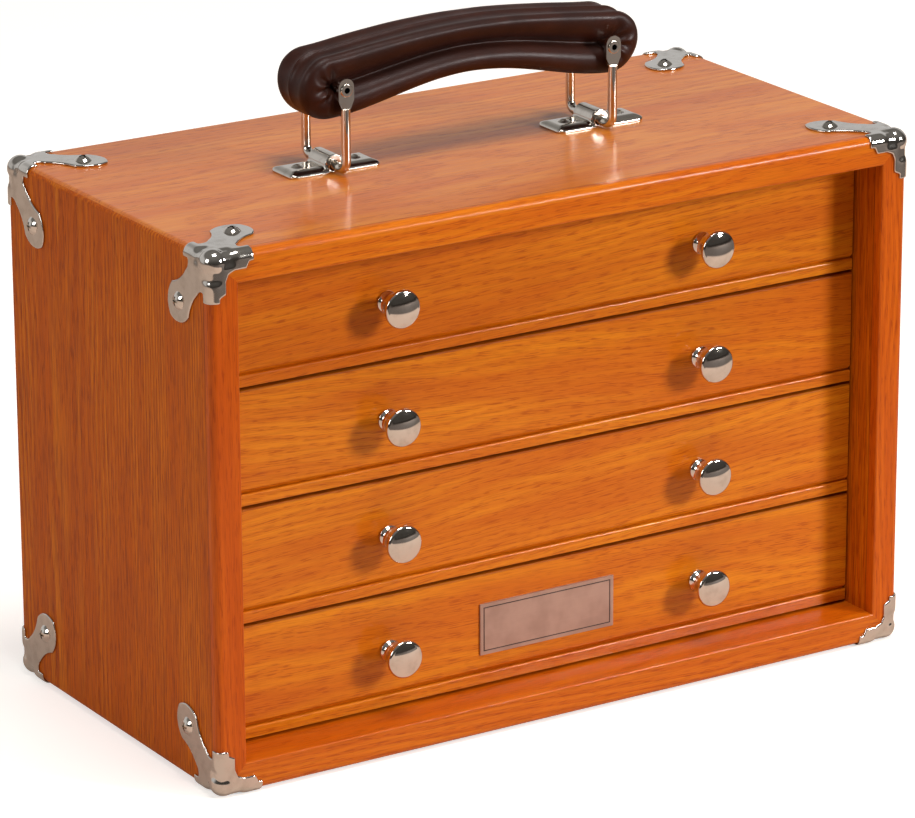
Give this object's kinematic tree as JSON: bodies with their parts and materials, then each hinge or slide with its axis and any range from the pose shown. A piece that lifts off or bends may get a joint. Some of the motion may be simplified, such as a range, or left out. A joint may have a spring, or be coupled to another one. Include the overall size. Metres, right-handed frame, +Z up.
{
  "type": "machinist tool chest",
  "caption": "Small oak tool chest with drawers set back in its front, metal corner fittings and a padded carrying handle that folds sideways on wire bails.",
  "frame": {"origin": "on the surface the chest stands on, under the middle of the chest", "axes": "+X to the right along the chest's width, -Y towards a person facing the drawers, +Z up"},
  "size_m": [0.342, 0.172, 0.2835],
  "materials": {
    "case_veneer": "oak veneer under a glossy reddish-brown lacquer",
    "front_edging_oak": "solid oak, glossy golden-orange lacquer",
    "back_board": "oak veneer, satin lacquer",
    "drawer_front_oak": "flat-sawn oak, glossy golden-orange lacquer, open pores",
    "drawer_box_wood": "plain pale hardwood, unlacquered",
    "drawer_floor_wood": "thin board, unlacquered",
    "runner_wood": "planed hardwood strip, waxed",
    "felt_lining": "green wool felt",
    "corner_nickel": "stamped steel, polished nickel plate with light wear",
    "saddle_nickel": "stamped steel, polished nickel plate",
    "bail_wire": "bent wire, polished nickel plate",
    "rivet_nickel": "rolled tubular rivet, nickel plate",
    "knob_nickel": "turned and polished, nickel plate",
    "screw_nickel": "nickel-plated screws",
    "screw_steel": "plain steel machine screws",
    "plate_metal": "thin satin metal plate with a dark border line",
    "grip_leather": "dark brown pressed leather, worn to a soft shine on its ridges"
  },
  "bodies": {
    "case": {"bottom_panel": "case_veneer", "right_panel": "case_veneer", "top_panel": "case_veneer", "left_panel": "case_veneer", "bottom_edging": "front_edging_oak", "right_edging": "front_edging_oak", "top_edging": "front_edging_oak", "left_edging": "front_edging_oak", "back_panel": "back_board", "left_runners": "runner_wood", "right_runners": "runner_wood", "lower_left_front_corner": "corner_nickel", "lower_right_front_corner": "corner_nickel", "lower_left_back_corner": "corner_nickel", "lower_right_back_corner": "corner_nickel", "upper_left_front_corner": "corner_nickel", "upper_right_front_corner": "corner_nickel", "upper_left_back_corner": "corner_nickel", "upper_right_back_corner": "corner_nickel", "corner_screws": "screw_nickel", "saddle_left": "saddle_nickel", "saddle_right": "saddle_nickel", "saddle_screws": "screw_nickel"},
    "drawer_1": {"drawer_1_front": "drawer_front_oak", "drawer_1_left_side": "drawer_box_wood", "drawer_1_right_side": "drawer_box_wood", "drawer_1_back": "drawer_box_wood", "drawer_1_floor": "drawer_floor_wood", "drawer_1_liner": "felt_lining", "drawer_1_knobs": "knob_nickel", "drawer_1_knob_screws": "screw_steel"},
    "drawer_2": {"drawer_2_front": "drawer_front_oak", "drawer_2_left_side": "drawer_box_wood", "drawer_2_right_side": "drawer_box_wood", "drawer_2_back": "drawer_box_wood", "drawer_2_floor": "drawer_floor_wood", "drawer_2_liner": "felt_lining", "drawer_2_knobs": "knob_nickel", "drawer_2_knob_screws": "screw_steel"},
    "drawer_3": {"drawer_3_front": "drawer_front_oak", "drawer_3_left_side": "drawer_box_wood", "drawer_3_right_side": "drawer_box_wood", "drawer_3_back": "drawer_box_wood", "drawer_3_floor": "drawer_floor_wood", "drawer_3_liner": "felt_lining", "drawer_3_knobs": "knob_nickel", "drawer_3_knob_screws": "screw_steel"},
    "drawer_4": {"drawer_4_front": "drawer_front_oak", "drawer_4_left_side": "drawer_box_wood", "drawer_4_right_side": "drawer_box_wood", "drawer_4_back": "drawer_box_wood", "drawer_4_floor": "drawer_floor_wood", "drawer_4_liner": "felt_lining", "drawer_4_knobs": "knob_nickel", "drawer_4_knob_screws": "screw_steel", "label_plate": "plate_metal"},
    "left_bail": {"bail_left": "bail_wire"},
    "right_bail": {"bail_right": "bail_wire"},
    "handle_grip": {"grip": "grip_leather", "grip_pins": "rivet_nickel"}
  },
  "joints": [
    {"name": "drawer_1_slide", "type": "slide", "parent": "case", "child": "drawer_1", "axis": [0, -1, 0], "range_m": [0, 0.1]},
    {"name": "drawer_2_slide", "type": "slide", "parent": "case", "child": "drawer_2", "axis": [0, -1, 0], "range_m": [0, 0.1]},
    {"name": "drawer_3_slide", "type": "slide", "parent": "case", "child": "drawer_3", "axis": [0, -1, 0], "range_m": [0, 0.1]},
    {"name": "drawer_4_slide", "type": "slide", "parent": "case", "child": "drawer_4", "axis": [0, -1, 0], "range_m": [0, 0.1]},
    {"name": "left_bail_hinge", "type": "hinge", "parent": "case", "child": "left_bail", "pos_m": [-0.065, 0, 0.2296], "axis": [0, 1, 0], "range_deg": [-60, 60]},
    {"name": "right_bail_hinge", "type": "hinge", "parent": "case", "child": "right_bail", "pos_m": [0.065, 0, 0.2296], "axis": [0, 1, 0], "range_deg": [-60, 60]},
    {"name": "grip_hinge", "type": "hinge", "parent": "left_bail", "child": "handle_grip", "pos_m": [-0.065, 0, 0.2634], "axis": [0, 1, 0], "range_deg": [-60, 60]}
  ],
  "couplings": [
    {"joint": "right_bail_hinge", "follows": "left_bail_hinge", "ratio": 1},
    {"joint": "grip_hinge", "follows": "left_bail_hinge", "ratio": -1}
  ]
}
